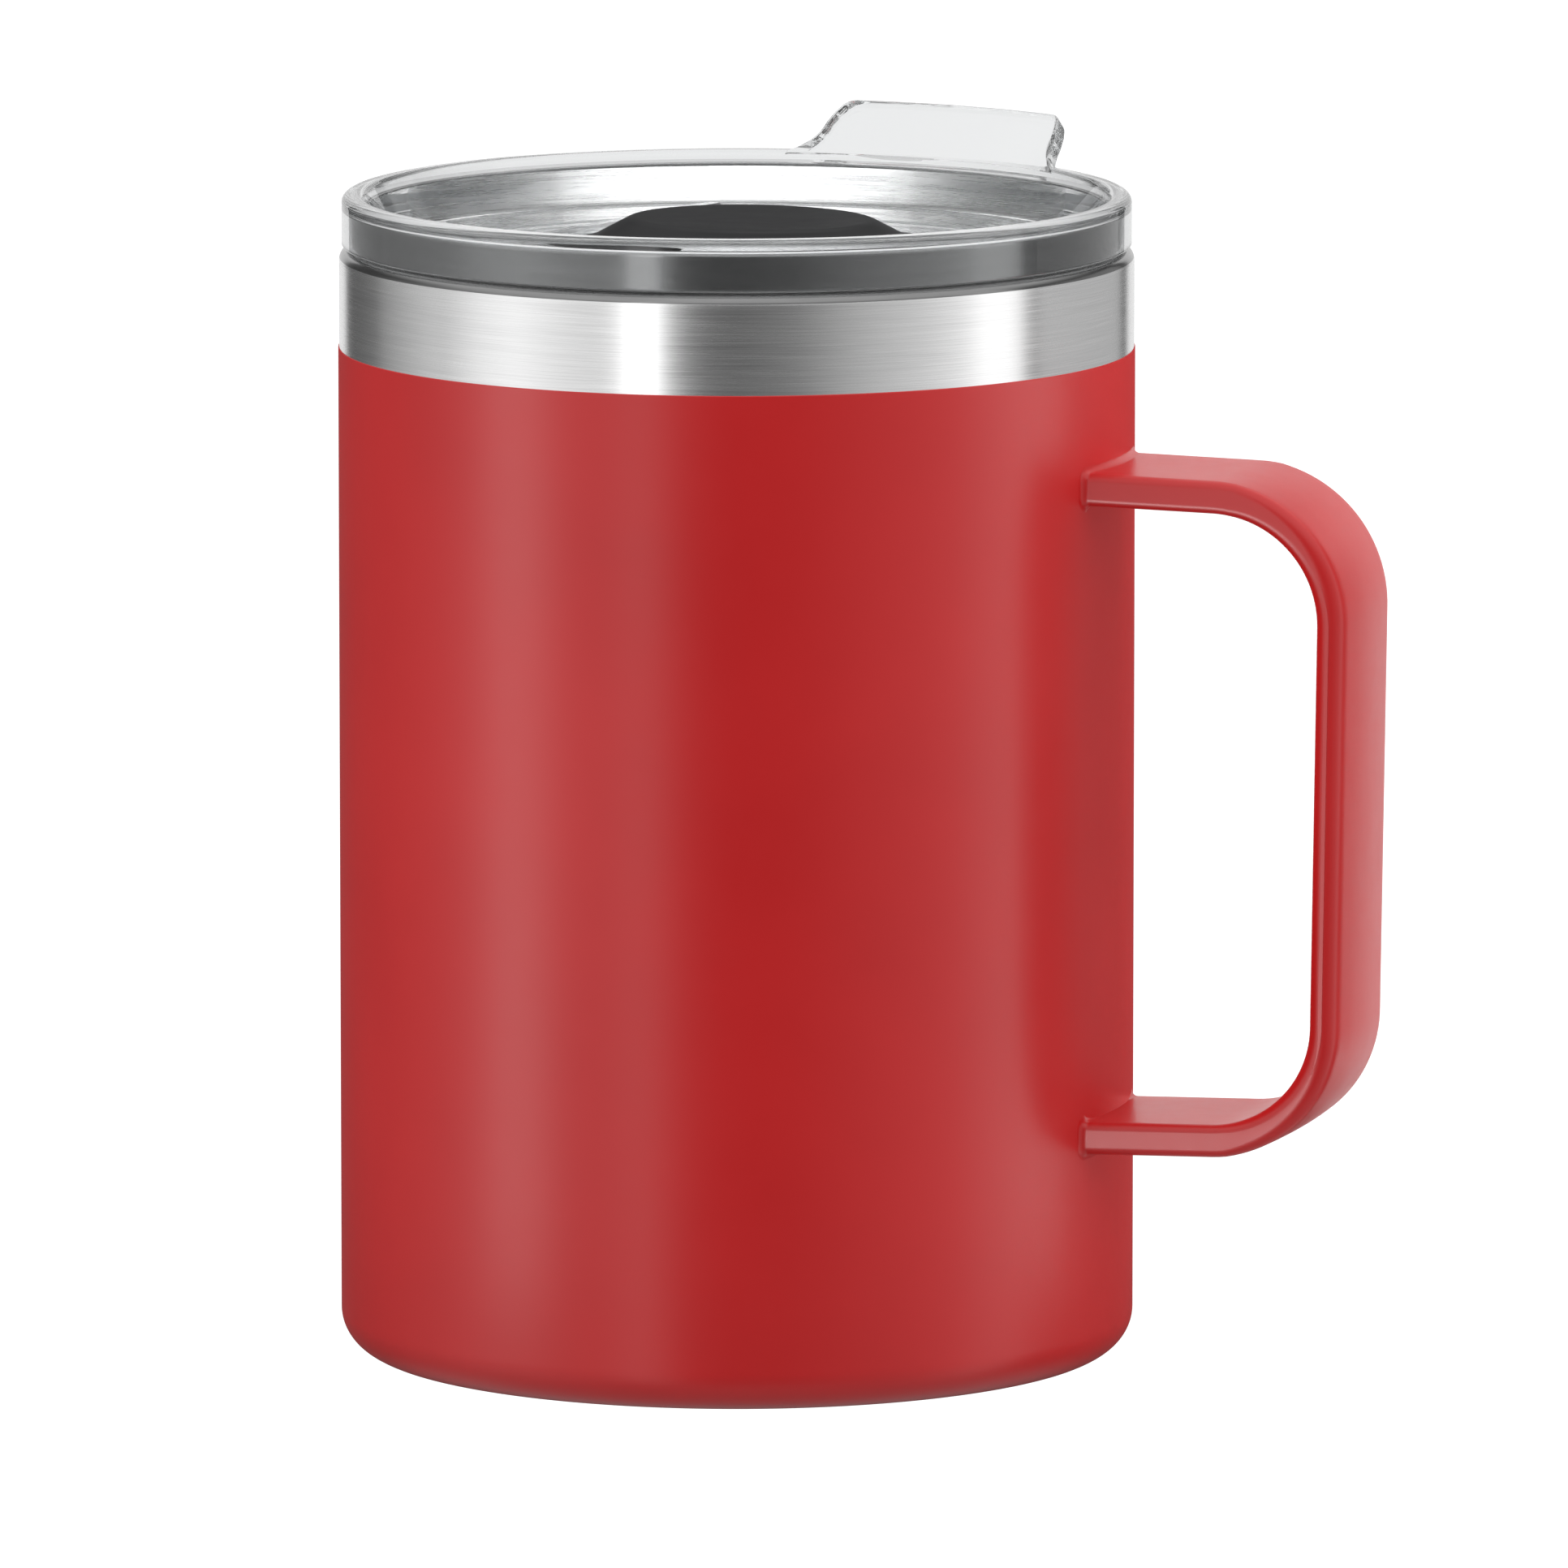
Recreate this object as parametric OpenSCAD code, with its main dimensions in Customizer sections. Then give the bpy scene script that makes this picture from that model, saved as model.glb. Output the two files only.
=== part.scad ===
// Insulated travel mug: a double-wall steel cup with a hollow strap handle welded to it,
// a clear press-in lid with a thumb tab, and a black closure that slides over the drink hole.
// Millimetres. The origin is on the cup's axis at the surface that it stands on.
// +Z is up and +X points through the handle.

/* [Cup] */
// Outside diameter over the powder coat
cup_od = 86; // [82:0.5:90]
// Height of the powder coat's top edge
coat_top = 109.5; // [100:0.5:114]
// Height where the shell turns in to the neck
shoulder_z = 120.2; // [119:0.1:124]
// Height of the neck, from the shoulder to the drinking lip
neck_h = 4.3; // [4:0.1:4.6]
// Radius of the rounded bottom edge, over the powder coat
foot_r = 4.6; // [3.5:0.1:5]
// Thickness of the steel sheet
sheet = 0.5; // [0.4:0.05:0.6]
// Thickness of the powder coat
coat_t = 0.12; // [0.08:0.01:0.2]
// Vacuum gap between the two walls
vacuum_gap = 3; // [2.5:0.1:3.5]

/* [Handle] */
// Height of the strap's centre at its upper weld
handle_z = 96.6; // [90:0.1:98]
// Width of the strap
strap_w = 19.2; // [16:0.1:22]
// Thickness of the strap
strap_t = 3.55; // [3.2:0.05:4.4]
// Radius of the strap's four long edges
strap_edge = 1.2; // [1.1:0.1:1.5]
// Thickness of the two pressings that make the strap
strap_wall = 0.8; // [0.6:0.05:1]
// Length of the upper arm, from the cup to its bend
arm_l = 13.4; // [11:0.1:16]
// Upper bend's radius at mid thickness
upper_bend = 13.4; // [9:0.1:15]
// Lower bend's radius at mid thickness
lower_bend = 12.8; // [8:0.1:14]
// Length of the straight grip
grip_l = 43.4; // [38:0.1:46]
// Fall of the upper arm away from the cup, in degrees
arm_fall = 1; // [0:0.1:3]
// Inward lean of the grip towards its foot, in degrees
grip_lean = 0.8; // [0:0.1:2]
// Rise of the lower arm away from the cup, in degrees
low_arm_rise = 1.7; // [0:0.1:3]
// Flare of the weld around each end of the strap
weld_flare = 1; // [0.8:0.1:2.5]

/* [Lid] */
// Direction of the thumb tab around the cup, in degrees from the handle
tab_turn = 75; // [0:1:359]
// Height of the lid's rim above the drinking lip
rim_h = 1.5; // [1.4:0.1:2]
// Depth of the lid's floor below the drinking lip
floor_drop = 5.5; // [5.3:0.1:5.9]
// Thickness of the lid's floor
floor_t = 1.9; // [1.6:0.1:2.2]
// Depth of the plug below the lid's floor
plug_drop = 8; // [7:0.1:10]
// Thickness of the skirt outside the neck
skirt_t = 0.95; // [0.8:0.05:1.05]
// Length of the thumb tab along its slope
tab_l = 6.5; // [4:0.1:8]
// Thickness of the thumb tab
tab_t = 2.5; // [2.2:0.1:2.6]
// Width across the thumb tab's tip
tab_w = 28; // [20:0.2:32]

/* [Slider] */
// Travel of the slider from closed to open
slider_travel = 12; // [9:0.5:12]
// Distance of the closed slider's grip from the cup's axis, towards the tab
grip_u = 3; // [2:0.5:4]
// Half length of the grip's base, across the travel
grip_half_l = 18.6; // [15:0.1:18.8]
// Half width of the grip's base, along the travel
grip_half_w = 17; // [13:0.1:17.3]
// Height of the grip above the slider's plate
grip_h = 2.7; // [1.8:0.1:3]
// Length of the drink hole, across the travel
hole_l = 16; // [10:0.5:17]
// Width of the drink hole, along the travel
hole_w = 7; // [5:0.5:7]

/* [Hidden] */
$fn = 96;
fit_gap = 0.2;    // play between pieces that move past each other
slop = 1;         // how far a cutting solid runs past what it cuts

// Cup radii
cup_r = cup_od / 2;
shell_r = cup_r - coat_t;
shell_in = shell_r - sheet;
neck_r = cup_r - 1.6;
mouth_r = neck_r - 2 * sheet;
liner_r = shell_in - vacuum_gap;
liner_in = liner_r - sheet;
hem_r = shell_r - foot_r - 2.1;

// Cup heights
lip_z = shoulder_z + neck_h;
weld_z = lip_z - sheet;
shoulder_r = shell_r - neck_r;
shell_foot_r = foot_r - coat_t;
coat_end = -68;   // angle on the foot's arc where the coat stops, clear of the ground
hem_h = 4;
pan_z = 2.6;
seam_z = 14;
liner_corner = 6;
liner_floor = seam_z - liner_corner;
step_z = 104;
step_h = 3;
plug_hole_r = 1.2;
getter_x = 16;
getter_r = 4;
getter_h = 2;
foil_t = 0.1;

// Handle path in the XZ plane: headings in degrees, then the ends of its five stretches
head_1 = -arm_fall;
head_2 = -90 - grip_lean;
head_3 = -180 + low_arm_rise;
function along(a, d) = d * [cos(a), sin(a)];
root_1 = [shell_r, handle_z];
bend_1a = root_1 + along(head_1, arm_l);
centre_1 = bend_1a + along(head_1 - 90, upper_bend);
bend_1b = centre_1 + along(head_2 + 90, upper_bend);
bend_2a = bend_1b + along(head_2, grip_l);
centre_2 = bend_2a + along(head_2 - 90, lower_bend);
bend_2b = centre_2 + along(head_3 + 90, lower_bend);
low_arm_l = (bend_2b[0] - shell_r) / -cos(head_3);
root_2 = bend_2b + along(head_3, low_arm_l);
root_dip = 2;     // how far the strap's ends reach in before the shell's surface cuts them
weld_knee = 0.3;  // distance from the cup at which the weld's flare turns

// Lid, turned so that its own +X points to the tab
rim_z = lip_z + rim_h;
flange_z = lip_z + 0.15;
floor_z = lip_z - floor_drop;
plug_z = floor_z - plug_drop;
skirt_in = neck_r + 0.25;
skirt_r = skirt_in + skirt_t;
plug_r = mouth_r - 0.5;
plug_in = plug_r - 2.7;
rim_edge = 0.9;
dish_r = skirt_r - 5;
dish_top_r = skirt_r - 2.5;
floor_r = dish_r - 2.2;
ring_z = floor_z + 1.4;
groove_low = plug_z + 2.2;
groove_h = 3;
groove_r = plug_r - 1;
tab_lean = 45;
tab_edge = 1;
tab_round = 0.45; // how far the tab's rounded tip rises above its middle line's end
tab_root_top = 1.6; // how far its upper face runs on into the rim, and its lower face
tab_root_low = 0.6;
tab_span = 26;    // half angle of the ring sector that the tab is cut from
tab_base_w = tab_w + 1.6;
tab_fillet = 2.5;
tab_corner = 1.5;
vent_r = 0.8;
vent_place = [4, -28];

// Slider
plate_z = floor_z + 0.3;
plate_t = 1;
plate_top = plate_z + plate_t;
plate_w = 38.6;
plate_corner = 12;
rail_y = plate_w / 2 + fit_gap;
rail_t = 1.2;
rail_lip = 0.6;
rail_over = 0.6;
rail_start = grip_u - 11;
rail_end = grip_u + slider_travel + 11;
tongue_w = 21;
tongue_t = 1.3;
tongue_corner = 5;
tongue_end = -32;
hole_u = -27;
seal_margin = 1.2;
seal_w = hole_l + 2 * seal_margin;
seal_l = hole_w + 2 * seal_margin;
seal_z = floor_z + 0.1;
seal_pocket = 0.8;
flank_angle = 28;
crown_r = 2.6;

// Points on an arc about c, from angle a to angle b
function arc(c, r, a, b, n = 8) = [for (i = [0:n]) c + along(a + (b - a) * i / n, r)];

// A rectangle with rounded corners, centred
module rounded_rect(x, y, r) {
  square([x - 2 * r, y], center = true);
  square([x, y - 2 * r], center = true);
  for (sx = [-1, 1], sy = [-1, 1])
    translate([sx * (x / 2 - r), sy * (y / 2 - r)]) circle(r);
}

// Steel sheet from the foot's hem, up the side and over the shoulder to the neck
module outer_shell() {
  foot_c = [shell_r - shell_foot_r, shell_foot_r];
  shoulder_c = [neck_r, shoulder_z - shoulder_r];
  color("silver") rotate_extrude() polygon(concat(
    [[hem_r - sheet, hem_h], [hem_r - sheet, 0]],
    arc(foot_c, shell_foot_r, -90, 0),
    arc(shoulder_c, shoulder_r, 0, 90),
    [[neck_r, weld_z], [neck_r - sheet, weld_z], [neck_r - sheet, shoulder_z - sheet]],
    arc(shoulder_c, shoulder_r - sheet, 90, 0),
    arc(foot_c, shell_foot_r - sheet, 0, -90),
    [[hem_r, sheet], [hem_r, hem_h]]
  ));
}

// Coloured skin on the shell, open where the handle is welded on
module powder_coat() {
  foot_c = [shell_r - shell_foot_r, shell_foot_r];
  color("firebrick") difference() {
    rotate_extrude() polygon(concat(
      arc(foot_c, foot_r, coat_end, 0),
      [[cup_r, coat_top], [shell_r, coat_top]],
      arc(foot_c, shell_foot_r, 0, coat_end)
    ));
    at_upper_root() weld_blank();
    at_lower_root() weld_blank();
  }
}

// Inner wall, wider at the mouth where the lid's plug goes in
module liner_wall() {
  color("lightgray") rotate_extrude() polygon([
    [liner_in, seam_z], [liner_r, seam_z], [liner_r, step_z],
    [mouth_r + sheet, step_z + step_h], [mouth_r + sheet, weld_z],
    [mouth_r, weld_z], [mouth_r, step_z + step_h], [liner_in, step_z]
  ]);
}

// Inner bottom with a rounded corner, welded to the liner's wall
module liner_bottom() {
  corner_c = [liner_r - liner_corner, seam_z];
  color("lightgray") rotate_extrude() polygon(concat(
    [[0, liner_floor]],
    arc(corner_c, liner_corner, -90, 0),
    arc(corner_c, liner_corner - sheet, 0, -90),
    [[0, liner_floor + sheet]]
  ));
}

// Polished bead that joins the two walls at the drinking lip
module lip_weld() {
  color("whitesmoke") rotate_extrude()
    polygon(arc([neck_r - sheet, weld_z], sheet, 0, 180, 12));
}

// Copper foil around the liner, inside the vacuum
module reflective_foil() {
  color("peru") rotate_extrude()
    translate([liner_r, seam_z + 1]) square([foil_t, step_z - seam_z - 2]);
}

// Closes the vacuum space; its rim is welded inside the shell's hem
module base_pan() {
  rim_r = hem_r - sheet;
  color("darkgray") rotate_extrude() polygon([
    [plug_hole_r, pan_z], [rim_r, pan_z], [rim_r, hem_h], [rim_r - sheet, hem_h],
    [rim_r - sheet, pan_z + sheet], [plug_hole_r, pan_z + sheet]
  ]);
}

// Bead that seals the hole through which the air was drawn out
module evacuation_plug() {
  color("saddlebrown") rotate_extrude() polygon([
    [0, pan_z - sheet], [1.8, pan_z - sheet], [2.4, pan_z], [plug_hole_r, pan_z],
    [plug_hole_r, pan_z + sheet], [0, pan_z + sheet]
  ]);
}

// Pill that takes up stray gas in the vacuum
module getter() {
  color("dimgray") translate([getter_x, 0, pan_z + sheet]) cylinder(r = getter_r, h = getter_h);
}

// Hat-shaped strip that holds the getter against the pan
module getter_clip() {
  strip_t = 0.3;
  strip_w = 3;
  foot_l = 3;
  inside = getter_r;
  outside = getter_r + strip_t;
  color("gainsboro") translate([getter_x, strip_w / 2, pan_z + sheet]) rotate([90, 0, 0])
    linear_extrude(strip_w) polygon([
      [-outside - foot_l, 0], [-inside, 0], [-inside, getter_h], [inside, getter_h],
      [inside, 0], [outside + foot_l, 0], [outside + foot_l, strip_t],
      [outside, strip_t], [outside, getter_h + strip_t], [-outside, getter_h + strip_t],
      [-outside, strip_t], [-outside - foot_l, strip_t]
    ]);
}

// Cover glued into the foot's recess, with two spun rings and a pocket over the bead
module base_disc() {
  disc_r = hem_r - sheet - fit_gap;
  disc_z = pan_z - 1;
  ring_w = 1.3;
  ring_d = 0.2;
  ring_slope = 0.3;
  pocket_z = pan_z - sheet - 0.1;
  rings = [for (r = [22, 29]) each [
    [r, disc_z], [r + ring_slope, disc_z + ring_d],
    [r + ring_w - ring_slope, disc_z + ring_d], [r + ring_w, disc_z]
  ]];
  color("silver") rotate_extrude() polygon(concat(
    [[0, disc_z]],
    rings,
    [[disc_r - 0.4, disc_z], [disc_r, disc_z + 0.4], [disc_r, pan_z]],
    [[3, pan_z], [3, pocket_z], [0, pocket_z]]
  ));
}

// Places along the strap's middle as [x, z, heading], closer together round the bends
bend_steps = 12;
function bend_places(centre, radius, a, b) = [for (i = [0:bend_steps])
  let (h = a + (b - a) * i / bend_steps) concat(centre + along(h + 90, radius), h)];
strap_places = concat(
  [concat(root_1 - along(head_1, root_dip), head_1)],
  bend_places(centre_1, upper_bend, head_1, head_2),
  bend_places(centre_2, lower_bend, head_2, head_3),
  [concat(root_2 + along(head_3, root_dip), head_3)]
);

// Half of a rounded outline, t thick from the strap's middle plane and w wide, as [out, across]
function half_outline(t, w, r, n) = concat(
  [[0, w / 2]],
  arc([t - r, w / 2 - r], r, 90, 0, n),
  arc([t - r, r - w / 2], r, 0, -90, n),
  [[0, -w / 2]]
);
function reversed(list) = [for (i = [len(list) - 1:-1:0]) list[i]];

edge_steps = 4;
outer_outline = half_outline(strap_t / 2, strap_w, strap_edge, edge_steps);
inner_outline = half_outline(strap_t / 2 - strap_wall, strap_w - 2 * strap_wall,
  strap_edge - strap_wall, edge_steps);
half_n = len(outer_outline);

// One pressing's section, whose end is a strip of quads, and the solid strap's section
pressing_section = concat(outer_outline, reversed(inner_outline));
pressing_end = [for (i = [0:half_n - 2]) [i, i + 1, 2 * half_n - 2 - i, 2 * half_n - 1 - i]];
solid_section = concat(outer_outline,
  [for (i = [half_n - 2:-1:1]) [-outer_outline[i][0], outer_outline[i][1]]]);
solid_end = [[for (i = [0:len(solid_section) - 1]) i]];

// Sweeps a section along the strap; side is 1 for the outer pressing, -1 for the inner one
module strap_sweep(section, end, side = 1) {
  n = len(section);
  last = len(strap_places) - 1;
  points = [for (s = strap_places, p = section)
    let (out = along(s[2] + 90, side * p[0])) [s[0] + out[0], p[1], s[1] + out[1]]];
  sides = [for (k = [0:last - 1], i = [0:n - 1])
    [k * n + i, (k + 1) * n + i, (k + 1) * n + (i + 1) % n, k * n + (i + 1) % n]];
  far = [for (f = end) [for (i = reversed(f)) last * n + i]];
  faces = concat(sides, end, far);
  polyhedron(points, side > 0 ? faces : [for (f = faces) reversed(f)], convexity = 6);
}

// Room for the cup, whose wall cuts the strap's ends and the welds
module shell_room() {
  cylinder(r = shell_r, h = lip_z, $fn = 180);
}

// Pressing on the strap's outward side, welded to the inner one along both edges
module handle_outer_half() {
  color("firebrick") difference() {
    strap_sweep(pressing_section, pressing_end);
    shell_room();
  }
}

// Pressing on the finger side
module handle_inner_half() {
  color("firebrick") difference() {
    strap_sweep(pressing_section, pressing_end, -1);
    shell_room();
  }
}

// Places children with +X along the strap, out of the cup
module at_upper_root() {
  translate([root_1[0], 0, root_1[1]]) rotate([0, arm_fall, 0]) children();
}

module at_lower_root() {
  translate([root_2[0], 0, root_2[1]]) rotate([0, -low_arm_rise, 0]) children();
}

// A slice of the weld, grown by g around the strap's outline, at x from the cup
module weld_slice(x, g) {
  translate([x, 0, 0]) rotate([0, 90, 0]) linear_extrude(0.05)
    rounded_rect(strap_t + 2 * g, strap_w + 2 * g, strap_edge + g, $fn = 32);
}

// Flared outline of a weld, before the strap and the cup are taken out of it
module weld_blank() {
  hull() {
    weld_slice(-root_dip, weld_flare);
    weld_slice(weld_knee, weld_flare * 0.45);
  }
  hull() {
    weld_slice(weld_knee, weld_flare * 0.45);
    weld_slice(weld_flare, 0.05);
  }
}

module upper_weld() {
  color("firebrick") difference() {
    at_upper_root() weld_blank();
    strap_sweep(solid_section, solid_end);
    shell_room();
  }
}

module lower_weld() {
  color("firebrick") difference() {
    at_lower_root() weld_blank();
    strap_sweep(solid_section, solid_end);
    shell_room();
  }
}

// Turns children from the lid's own frame into the cup's
module lid_frame() {
  rotate([0, 0, tab_turn]) children();
}

// Half section of the lid: skirt, rim, dish, floor and plug
module lid_section() {
  wall_turn = 180 - atan2(dish_top_r - dish_r, rim_z - ring_z);
  polygon(concat(
    [[skirt_in, shoulder_z + 0.3], [skirt_r - 0.2, shoulder_z + 0.3], [skirt_r, shoulder_z + 0.5]],
    arc([skirt_r - rim_edge, rim_z - rim_edge], rim_edge, 0, 90),
    arc([dish_top_r + rim_edge, rim_z - rim_edge], rim_edge, 90, wall_turn, 5),
    [[dish_r + 0.3, ring_z + 0.7], [dish_r + 0.1, ring_z + 0.2], [dish_r - 0.3, ring_z]],
    [[floor_r + 0.7, ring_z], [floor_r + 0.3, ring_z - 0.3], [floor_r, floor_z], [0, floor_z]],
    [[0, floor_z - floor_t], [plug_in - 1, floor_z - floor_t], [plug_in, floor_z - floor_t - 1]],
    [[plug_in, plug_z + 0.4], [plug_in + 0.4, plug_z], [plug_r - 0.8, plug_z]],
    [[plug_r - 0.3, plug_z + 0.5], [plug_r - 0.3, groove_low], [groove_r, groove_low]],
    [[groove_r, groove_low + groove_h], [plug_r, groove_low + groove_h]],
    [[plug_r, flange_z], [skirt_in, flange_z]]
  ));
}

// Section of the leaning tab; it grows out of the rim over its whole width
module tab_section() {
  foot = [skirt_r - rim_edge + 0.3, rim_z];
  tip = foot + along(tab_lean, tab_l);
  side = along(tab_lean + 90, 1);
  core = tip - along(tab_lean, tab_edge);
  polygon(concat(
    [foot - along(tab_lean, tab_root_top) + side * tab_t / 2],
    arc(core + side * (tab_t / 2 - tab_edge), tab_edge, tab_lean + 90, tab_lean, 5),
    arc(core - side * (tab_t / 2 - tab_edge), tab_edge, tab_lean, tab_lean - 90, 5),
    [foot - along(tab_lean, tab_root_low) - side * tab_t / 2]
  ));
}

// Outline of the tab seen from outside: fillets at its foot and round corners at its tip
module tab_outline() {
  tip_z = rim_z + tab_l * sin(tab_lean) + tab_round;
  half = concat(
    [[tab_base_w / 2 + tab_fillet, rim_z - 3]],
    arc([tab_base_w / 2 + tab_fillet, rim_z + tab_fillet], tab_fillet, 270, 188, 6),
    arc([tab_w / 2 - tab_corner, tip_z - tab_corner], tab_corner, 0, 90, 6)
  );
  polygon(concat(half, [for (p = reversed(half)) [-p[0], p[1]]]));
}

module thumb_tab() {
  intersection() {
    rotate([0, 0, -tab_span]) rotate_extrude(angle = 2 * tab_span) tab_section();
    translate([dish_r, 0, 0]) rotate([90, 0, 90]) linear_extrude(20) tab_outline();
  }
}

// A rail with a lip that keeps the slider's plate down
module rail() {
  lip_z0 = plate_top + fit_gap;
  rail_l = rail_end - rail_start;
  translate([rail_start, rail_y, floor_z - slop])
    cube([rail_l, rail_t, lip_z0 - floor_z + slop]);
  translate([rail_start, rail_y - rail_over, lip_z0])
    cube([rail_l, rail_t + rail_over, rail_lip]);
}

// A slot with round ends, l long across the travel and w wide along it
module slot(l, w, h) {
  linear_extrude(h) {
    square([w, l - w], center = true);
    for (s = [-1, 1]) translate([0, s * (l - w) / 2]) circle(w / 2);
  }
}

module lid_body() {
  color("lightcyan") lid_frame() difference() {
    union() {
      rotate_extrude() lid_section();
      thumb_tab();
      rail();
      mirror([0, 1, 0]) rail();
    }
    translate([hole_u, 0, floor_z - floor_t - slop]) slot(hole_l, hole_w, floor_t + 2 * slop);
    translate([vent_place[0], vent_place[1], floor_z - floor_t - slop])
      cylinder(r = vent_r, h = floor_t + 2 * slop);
  }
}

// Silicone ring in the plug's groove, with two fins that press on the liner
module lid_gasket() {
  fin_r = mouth_r - 0.1;
  skin_r = plug_r - 0.2;
  fins = [for (z = [groove_low + 0.5, groove_low + 1.8]) each [
    [skin_r, z], [fin_r, z + 0.45], [fin_r - 0.05, z + 0.75], [skin_r, z + 0.65]
  ]];
  color("white") rotate_extrude() polygon(concat(
    [[groove_r, groove_low], [skin_r, groove_low]],
    fins,
    [[skin_r, groove_low + groove_h], [groove_r, groove_low + groove_h]]
  ));
}

// Rings of the grip, from its wide base up the sloped flank and round to the crown.
// Each entry is [how far in from the base's edge, height above the plate].
grip_rise = crown_r * (1 - cos(flank_angle));
flank_h = grip_h - grip_rise;
flank_in = flank_h / tan(flank_angle);
grip_rings = concat(
  [[0, -0.5], [0, 0]],
  [for (a = [flank_angle:-flank_angle / 4:0])
    [flank_in + crown_r * (sin(flank_angle) - sin(a)),
     flank_h + crown_r * (cos(a) - cos(flank_angle))]]
);

// Raised oval of the grip, lofted through its rings
module grip() {
  n = 64;
  levels = len(grip_rings);
  points = [for (r = grip_rings, i = [0:n - 1])
    [(grip_half_w - r[0]) * cos(i * 360 / n), (grip_half_l - r[0]) * sin(i * 360 / n), r[1]]];
  sides = [for (k = [0:levels - 2], i = [0:n - 1])
    [k * n + i, (k + 1) * n + i, (k + 1) * n + (i + 1) % n, k * n + (i + 1) % n]];
  caps = [[for (i = [0:n - 1]) i], [for (i = [n - 1:-1:0]) (levels - 1) * n + i]];
  polyhedron(points, concat(sides, caps), convexity = 2);
}

module slider() {
  color([0.16, 0.16, 0.17]) lid_frame() difference() {
    union() {
      translate([grip_u, 0, plate_z]) linear_extrude(plate_t)
        rounded_rect(2 * grip_half_w, plate_w, plate_corner);
      translate([(tongue_end + grip_u) / 2, 0, plate_z]) linear_extrude(tongue_t)
        rounded_rect(grip_u - tongue_end, tongue_w, tongue_corner);
      translate([grip_u, 0, plate_top]) grip();
    }
    translate([hole_u, 0, plate_z - slop]) slot(seal_w, seal_l, seal_pocket + slop);
  }
}

// Silicone pad under the slider's tongue, over the closed drink hole
module slider_seal() {
  color("dimgray") lid_frame() translate([hole_u, 0, seal_z])
    slot(seal_w, seal_l, plate_z + seal_pocket - seal_z);
}

outer_shell();
powder_coat();
liner_wall();
liner_bottom();
lip_weld();
reflective_foil();
base_pan();
evacuation_plug();
getter();
getter_clip();
base_disc();
handle_outer_half();
handle_inner_half();
upper_weld();
lower_weld();
lid_body();
lid_gasket();
slider();
slider_seal();
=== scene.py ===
"""Insulated travel mug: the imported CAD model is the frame, and this script gives it its looks.

Lengths are in millimetres in the shape code and become metres in the meshes (MM); the camera and the
lights are placed in metres. The cup's axis is Z and the handle points to +X. Round pieces are turned
from a profile, the handle is swept, and the lid and the slider are built from a few closed solids
that are merged.
"""
import math

import bmesh
import bpy
from mathutils import Matrix, Vector


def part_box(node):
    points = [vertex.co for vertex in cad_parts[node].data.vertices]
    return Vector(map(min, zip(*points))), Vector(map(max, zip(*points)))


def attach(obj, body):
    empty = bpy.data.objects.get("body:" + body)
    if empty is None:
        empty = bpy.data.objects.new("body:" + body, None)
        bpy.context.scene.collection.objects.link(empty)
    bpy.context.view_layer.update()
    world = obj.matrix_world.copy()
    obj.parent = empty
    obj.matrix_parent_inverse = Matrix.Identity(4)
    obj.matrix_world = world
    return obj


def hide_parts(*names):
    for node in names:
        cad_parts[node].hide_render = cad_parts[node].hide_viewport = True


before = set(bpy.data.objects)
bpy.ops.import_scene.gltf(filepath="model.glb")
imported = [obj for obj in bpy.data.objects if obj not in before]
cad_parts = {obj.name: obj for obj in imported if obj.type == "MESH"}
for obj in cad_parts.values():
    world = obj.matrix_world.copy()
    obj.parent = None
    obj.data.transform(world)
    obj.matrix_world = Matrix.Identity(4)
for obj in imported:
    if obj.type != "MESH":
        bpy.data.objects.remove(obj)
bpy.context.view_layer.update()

MM = 0.001
TURN_STEPS = 288          # faces around a turned piece


# --------------------------------------------------------------------------- sizes from the frame

def box_mm(node):
    low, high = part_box(node)
    return low / MM, high / MM


cup_r = box_mm("powder_coat")[1].y
coat_top = box_mm("powder_coat")[1].z
shell_r = box_mm("outer_shell")[1].y
lip_z = box_mm("lip_weld")[1].z
neck_r = box_mm("lip_weld")[1].y
weld_z = box_mm("lip_weld")[0].z
sheet = lip_z - weld_z
mouth_r = neck_r - 2 * sheet
liner_r = box_mm("liner_bottom")[1].y
liner_floor = box_mm("liner_bottom")[0].z
seam_z = box_mm("liner_bottom")[1].z
disc_r = box_mm("base_disc")[1].y
disc_low = box_mm("base_disc")[0].z
disc_high = box_mm("base_disc")[1].z
plug_z = box_mm("lid_body")[0].z
gasket_low = box_mm("lid_gasket")[0].z
gasket_high = box_mm("lid_gasket")[1].z
gasket_r = box_mm("lid_gasket")[1].y

coat_t = cup_r - shell_r
foot_r = 4.6              # rounded bottom edge, over the powder coat
shell_foot_r = foot_r - coat_t
shoulder_z = lip_z - 4.3
shoulder_r = shell_r - neck_r
hem_r = shell_r - foot_r - 2.1
hem_h = 4

TAB_TURN = math.radians(75)      # the thumb tab's direction, from the handle


# --------------------------------------------------------------------------- mesh helpers

def along(angle, distance):
    """The 2D step of that length at that angle in degrees."""
    return Vector((math.cos(math.radians(angle)), math.sin(math.radians(angle)))) * distance


def arc(centre, radius, start, end, steps=8):
    """Points on an arc from angle start to angle end, both in degrees."""
    return [Vector(centre) + along(start + (end - start) * i / steps, radius) for i in range(steps + 1)]


def finish_mesh(name, verts, faces, crease=35, weighted=True):
    """A smooth-shaded object from millimetre points, with edges sharper than crease kept sharp."""
    mesh = bpy.data.meshes.new(name)
    mesh.from_pydata([tuple(Vector(v) * MM) for v in verts], [], faces)
    obj = bpy.data.objects.new(name, mesh)
    bpy.context.scene.collection.objects.link(obj)
    return smooth(obj, crease, weighted)


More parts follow.
